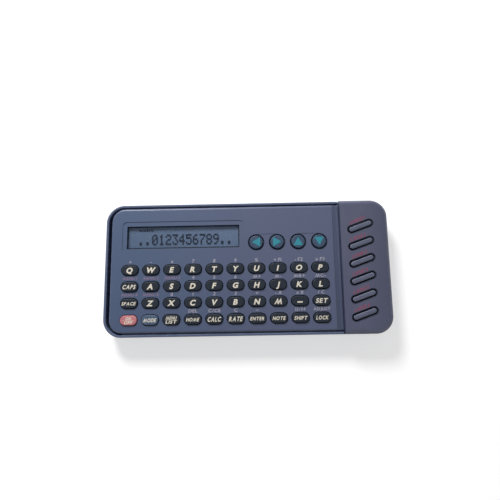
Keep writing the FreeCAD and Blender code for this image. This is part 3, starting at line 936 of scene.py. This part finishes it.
def make_small_print():
    """Small second-function print above each key, with the menu words in their own colour."""
    for piece_name, finish, is_menu in (
        ("panel_print", "grey_print", False), ("menu_print", "mauve_print", True)
    ):

        def words(work):
            for names, prints in zip(KEY_ROWS, SMALL_PRINT):
                for name, text in zip(names, prints):
                    if not text or text.startswith("MENU") != is_menu:
                        continue
                    place = centre("key_" + name)
                    place.y += SMALL_PRINT_RISE
                    place.z = PANEL + PRINT_LIFT
                    long = len(text) >= SMALL_WORD_LETTERS
                    height = SMALL_WORD_HEIGHT if long else SMALL_PRINT_HEIGHT
                    add_words(work, text, place, height, SMALL_PRINT_WEIGHT, lean=SMALL_PRINT_LEAN)

        mesh = mesh_from(piece_name, words)
        piece = add_piece(piece_name, mesh, finish, "housing", False)


def make_language_print():
    """Slanted red numbering above the six language keys."""

    def words(work):
        across = Vector((-math.sin(SLANT), math.cos(SLANT), 0))
        for number, node in enumerate(LANGUAGE_KEYS, 1):
            place = centre(node) + across * LANGUAGE_PRINT_RISE
            place.x += LANGUAGE_PRINT_SHIFT
            place.z = BLOCK_TOP + PRINT_LIFT
            add_words(
                work, "LANG " + str(number), place, LANGUAGE_PRINT_HEIGHT, LANGUAGE_PRINT_WEIGHT,
                LANGUAGE_PRINT_LENGTH, LANGUAGE_PRINT_LEAN, SLANT
            )

    mesh = mesh_from("block_print", words)
    piece = add_piece("block_print", mesh, "red_print", "housing", False)


# Display

GLYPHS = {
    "0": "01110 10001 10011 10101 11001 10001 01110",
    "1": "00100 01100 00100 00100 00100 00100 01110",
    "2": "01110 10001 00001 00110 01000 10000 11111",
    "3": "11111 00010 00100 00010 00001 10001 01110",
    "4": "00010 00110 01010 10010 11111 00010 00010",
    "5": "11111 10000 11110 00001 00001 10001 01110",
    "6": "00110 01000 10000 11110 10001 10001 01110",
    "7": "11111 00001 00010 00100 01000 01000 01000",
    "8": "01110 10001 10001 01110 10001 10001 01110",
    "9": "01110 10001 10001 01111 00001 00010 01100",
    ".": "00000 00000 00000 00000 00000 01100 01100",
}

# Name, finish, shift, lift and swelling of the dots and of the shade that they throw
DOT_LAYERS = (
    ("display_dots", "display_dot", Vector((0, 0)), 0.012 * MM, 1.0),
    ("display_shades", "display_shade", Vector((0.16, -0.22)) * MM, 0.003 * MM, 1.12),
)


def dots_of(sign):
    """Dots of one character, as column and row."""
    rows = GLYPHS.get(sign, "").split()
    return [
        (column, row) for row, line in enumerate(rows)
        for column, dot in enumerate(line) if dot == "1"
    ]


def make_display_dots():
    """The dot characters, their soft shade on the reflector, and the small sign above them."""
    first = centre("lcd_panel")
    first.x += FIRST_CHARACTER_SHIFT - CHARACTER_PITCH * len(MESSAGE) / 2
    first.y += FIRST_DOT_RISE
    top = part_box("lcd_panel")[1].z

    for name, finish, shift, lift, swell in DOT_LAYERS:

        def dots(work):
            half_x = DOT_PITCH_X * DOT_FILL * swell / 2
            half_y = DOT_PITCH_Y * DOT_FILL * swell / 2
            for index, sign in enumerate(MESSAGE):
                for column, row in dots_of(sign):
                    x = first.x + index * CHARACTER_PITCH + column * DOT_PITCH_X + shift.x
                    y = first.y - row * DOT_PITCH_Y + shift.y
                    dot = rectangle(x - half_x, y - half_y, x + half_x, y + half_y)
                    thin_plate(work, dot, top + lift, DOT_DEPTH)

        piece = add_piece(name, mesh_from(name, dots), finish, "housing", False)

    def sign_words(work):
        place = Vector((
            first.x + SIGN_CHARACTER * CHARACTER_PITCH, first.y + SIGN_RISE, top + SIGN_LIFT
        ))
        add_words(work, SIGN_WORD, place, SIGN_HEIGHT, SIGN_WEIGHT, SIGN_LENGTH, lean=0.0)

    mesh = mesh_from("display_sign", sign_words)
    piece = add_piece("display_sign", mesh, "display_dot", "housing", False)


def make_display_gasket():
    """Black foam frame between the window and the glass, widest at the bottom, that also paints the
    shade round the display opening.
    """

    def gasket(work):
        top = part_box("lcd_panel")[1].z
        half = DISPLAY_OPENING / 2
        edge = half + GASKET_UNDER_CASE
        outer = rectangle(-edge.x, -edge.y, edge.x, edge.y)
        # The frame shows widest at the bottom and right: painted shade of the opening's walls
        inner = rectangle(
            GASKET_SHOWS - half.x, 3 * GASKET_SHOWS - half.y,
            half.x - 2 * GASKET_SHOWS, half.y - GASKET_SHOWS
        )
        rings = [
            [Vector((x, y, top + height)) for x, y in outline]
            for outline, height in (
                (outer, GASKET_LOW), (inner, GASKET_LOW), (inner, GASKET_HIGH), (outer, GASKET_HIGH)
            )
        ]
        loft(work, rings, centre("lcd_panel"), hollow=True)

    mesh = mesh_from("gasket", gasket)
    piece = add_piece("display_gasket", mesh, "dark_print_and_shade", "housing", False)


# Screws and cells


def solid_centres(node):
    """Plan centre, lowest and highest point of each separate solid of a node, by its points."""
    work = bmesh.new()
    work.from_mesh(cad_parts[node].data)
    bmesh.ops.remove_doubles(work, verts=work.verts, dist=SAME_POINT)
    left = set(work.verts)
    found = []
    while left:
        island = [left.pop()]
        for vertex in island:
            for edge in vertex.link_edges:
                other = edge.other_vert(vertex)
                if other in left:
                    left.remove(other)
                    island.append(other)
        xs, ys, zs = zip(*(vertex.co for vertex in island))
        middle = Vector(((min(xs) + max(xs)) / 2, (min(ys) + max(ys)) / 2, 0))
        found.append((middle, min(zs), max(zs)))
    work.free()
    return found


def make_screws():
    """Round screws with a slot across the head, in place of flat-sided ones."""

    def screws(work):
        reach = math.acos(SLOT_WIDTH / 2 / HEAD_RADIUS)
        for middle, low, high in solid_centres("case_screws"):
            head_top = low + HEAD_HEIGHT
            head = [
                (HEAD_RADIUS, low + SLOT_DEPTH), (HEAD_RADIUS, head_top - HEAD_CHAMFER),
                (HEAD_RADIUS - HEAD_CHAMFER, head_top)
            ]
            shank = [
                (SHANK_RADIUS, head_top), (SHANK_RADIUS, high - TIP_LENGTH), (TIP_RADIUS, high)
            ]
            lathe(work, head, middle, HEAD_SIDES)
            lathe(work, shank, middle, SHANK_SIDES)
            for side in (0, math.pi):
                outline = arc(middle, HEAD_RADIUS, side, reach, SLOT_SIDE_STEPS)
                thin_plate(work, outline, low, SLOT_DEPTH)

    piece = add_piece("smooth_screws", mesh_from("screws", screws), "screw", "housing", False)
    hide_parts("case_screws")


def make_cells():
    """Button cells with a crimped rim, in place of flat-sided ones."""

    def cells(work):
        for middle, low, high in solid_centres("coin_cells"):
            profile = [
                (CELL_RADIUS - CELL_EDGE, low),
                (CELL_RADIUS, low + CELL_EDGE),
                (CELL_RADIUS, high - 3 * CELL_EDGE),
                (CELL_RADIUS - CELL_EDGE, high - 2 * CELL_EDGE),
                (CELL_RADIUS - 3 * CELL_EDGE, high - 2 * CELL_EDGE),
                (CELL_RADIUS - 4 * CELL_EDGE, high - CELL_EDGE),
                (CELL_RADIUS - 5 * CELL_EDGE, high),
            ]
            lathe(work, profile, middle, CELL_SIDES)

    piece = add_piece("smooth_cells", mesh_from("cells", cells), "cell", "housing", False)
    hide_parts("coin_cells")


def make_tray_lips():
    """Lip of the battery tray that closes each cell pocket beside the door."""
    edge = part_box("battery_door")[0].x - LIP_CLEARANCE

    def lips(work):
        radius = CELL_RADIUS + LIP_CLEARANCE
        for middle, low, _ in solid_centres("coin_cells"):
            reach = math.acos((middle.x - edge) / radius)
            outline = arc(middle, radius, math.pi, reach, LIP_STEPS)
            thin_plate(work, outline, 0.0, low - LIP_CLEARANCE)

    piece = add_piece("tray_lips", mesh_from("tray_lips", lips), "case", "housing", False)


def dress_cad_nodes():
    """Give each piece that is shown as modelled its own finish."""
    finishes = {
        "front_case": "case", "rear_case": "case", "slide_cover": "cover",
        "battery_door": "case", "display_window": "window", "lcd_panel": "display",
        "circuit_board": "board", "key_mat": "mat",
    }
    for node, finish in finishes.items():
        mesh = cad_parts[node].data
        mesh.materials.clear()
        mesh.materials.append(FINISHES[finish])


# Stage


def make_floor():
    """Pale floor, a hair below the piece."""
    corners = rectangle(-FLOOR_REACH, -FLOOR_REACH, FLOOR_REACH, FLOOR_REACH)

    def sheet(work):
        work.faces.new([work.verts.new((x, y, -FLOOR_DROP)) for x, y in corners])

    mesh = mesh_from("floor", sheet)
    mesh.materials.append(make_floor_finish())
    floor = bpy.data.objects.new("floor", mesh)
    bpy.context.scene.collection.objects.link(floor)


def make_world():
    """White surroundings for the camera and for reflections, and dim light from them."""
    world = bpy.data.worlds.new("studio")
    world.use_nodes = True
    shading = Shading(world.node_tree)
    strength = WORLD_LEVEL
    for ray in ("Is Camera Ray", "Is Glossy Ray", "Is Transmission Ray"):
        strength = shading.node("ShaderNodeLightPath", output=ray).highest(strength)
    background = world.node_tree.nodes["Background"]
    shading.feed(background.inputs["Color"], WHITE)
    shading.feed(background.inputs["Strength"], strength)
    bpy.context.scene.world = world


def make_lamps():
    """Plain soft lights that point at the piece."""
    for name, place, size, power, colour in LAMPS:
        lamp = bpy.data.lights.new(name, "AREA")
        lamp.shape = "DISK"
        lamp.size = size
        lamp.energy = power
        lamp.color = colour
        holder = bpy.data.objects.new(name, lamp)
        holder.location = place
        holder.rotation_euler = Vector(place).to_track_quat("Z", "Y").to_euler()
        bpy.context.scene.collection.objects.link(holder)


def make_camera():
    """Camera above the unit, a little towards its lower edge."""
    camera = bpy.data.cameras.new("camera")
    camera.lens = CAMERA_LENS
    camera.sensor_width = CAMERA_SENSOR
    camera.clip_start = CAMERA_CLIP
    holder = bpy.data.objects.new("camera", camera)
    forward = (CAMERA_TARGET - CAMERA_PLACE).normalized()
    level = forward.cross(Vector((0, 1, 0))).normalized()
    upright = level.cross(forward)
    right = level * math.cos(CAMERA_ROLL) - upright * math.sin(CAMERA_ROLL)
    up = upright * math.cos(CAMERA_ROLL) + level * math.sin(CAMERA_ROLL)
    turn = Matrix((right, up, -forward)).transposed().to_4x4()
    holder.matrix_world = Matrix.Translation(CAMERA_PLACE) @ turn
    bpy.context.scene.collection.objects.link(holder)
    bpy.context.scene.camera = holder


make_camera()
make_floor()
make_world()
make_lamps()
dress_cad_nodes()
make_letter_keys()
make_arrow_keys()
make_language_keys()
make_key_wells()
make_arrow_wells()
make_language_wells()
make_small_print()
make_language_print()
make_display_dots()
make_display_gasket()
make_screws()
make_cells()
make_tray_lips()

bpy.context.scene.view_settings.view_transform = "Standard"
